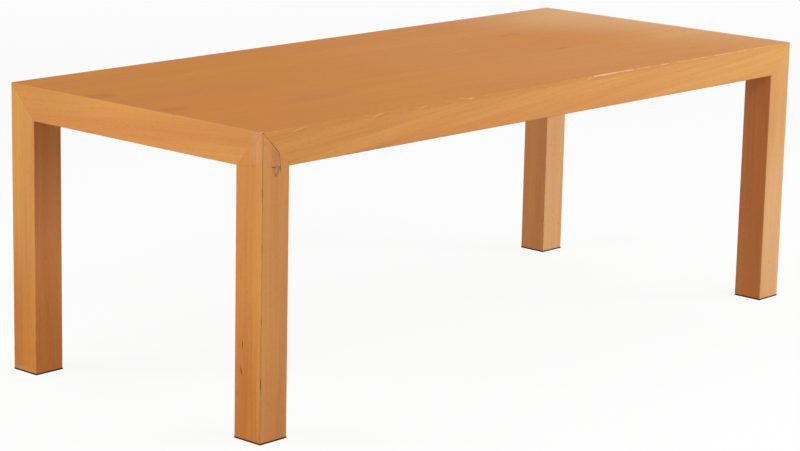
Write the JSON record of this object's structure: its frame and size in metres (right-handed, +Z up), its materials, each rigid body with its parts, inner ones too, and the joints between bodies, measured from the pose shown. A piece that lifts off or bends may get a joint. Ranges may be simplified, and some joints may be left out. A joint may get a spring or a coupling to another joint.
{
  "type": "parsons dining table",
  "caption": "Rectangular dining table with a flush top and aprons folded in mitres, square box legs bolted into the mitred corners, and dark pads under the feet.",
  "frame": {"origin": "on the floor under the middle of the table", "axes": "+X along the table's length to the right end, +Y across it to the back, +Z up"},
  "size_m": [2.134, 0.914, 0.756],
  "materials": {
    "lacquered_oak": "satin",
    "inner_hardwood": "matte",
    "spline_ply": "matte",
    "foot_pad": "matte",
    "zinc_steel": "satin"
  },
  "bodies": {
    "root": {"top_panel": "lacquered_oak", "front_apron": "lacquered_oak", "right_apron": "lacquered_oak", "back_apron": "lacquered_oak", "left_apron": "lacquered_oak", "front_left_leg_front_board": "lacquered_oak", "front_left_leg_right_board": "lacquered_oak", "front_left_leg_back_board": "lacquered_oak", "front_left_leg_left_board": "lacquered_oak", "front_right_leg_right_board": "lacquered_oak", "front_right_leg_back_board": "lacquered_oak", "front_right_leg_left_board": "lacquered_oak", "front_right_leg_front_board": "lacquered_oak", "back_right_leg_back_board": "lacquered_oak", "back_right_leg_left_board": "lacquered_oak", "back_right_leg_front_board": "lacquered_oak", "back_right_leg_right_board": "lacquered_oak", "back_left_leg_left_board": "lacquered_oak", "back_left_leg_front_board": "lacquered_oak", "back_left_leg_right_board": "lacquered_oak", "back_left_leg_back_board": "lacquered_oak", "front_left_leg_head_block": "inner_hardwood", "front_left_leg_foot_plug": "inner_hardwood", "front_left_foot_pad": "foot_pad", "front_left_corner_block": "inner_hardwood", "front_left_leg_splines": "spline_ply", "front_right_leg_head_block": "inner_hardwood", "front_right_leg_foot_plug": "inner_hardwood", "front_right_foot_pad": "foot_pad", "front_right_corner_block": "inner_hardwood", "front_right_leg_splines": "spline_ply", "back_right_leg_head_block": "inner_hardwood", "back_right_leg_foot_plug": "inner_hardwood", "back_right_foot_pad": "foot_pad", "back_right_corner_block": "inner_hardwood", "back_right_leg_splines": "spline_ply", "back_left_leg_head_block": "inner_hardwood", "back_left_leg_foot_plug": "inner_hardwood", "back_left_foot_pad": "foot_pad", "back_left_corner_block": "inner_hardwood", "back_left_leg_splines": "spline_ply", "front_top_spline": "spline_ply", "right_top_spline": "spline_ply", "back_top_spline": "spline_ply", "left_top_spline": "spline_ply", "left_batten": "inner_hardwood", "middle_batten": "inner_hardwood", "right_batten": "inner_hardwood", "long_glue_blocks": "inner_hardwood", "end_glue_blocks": "inner_hardwood", "hanger_bolts": "zinc_steel", "bolt_washers": "zinc_steel", "bolt_nuts": "zinc_steel"}
  },
  "joints": []
}
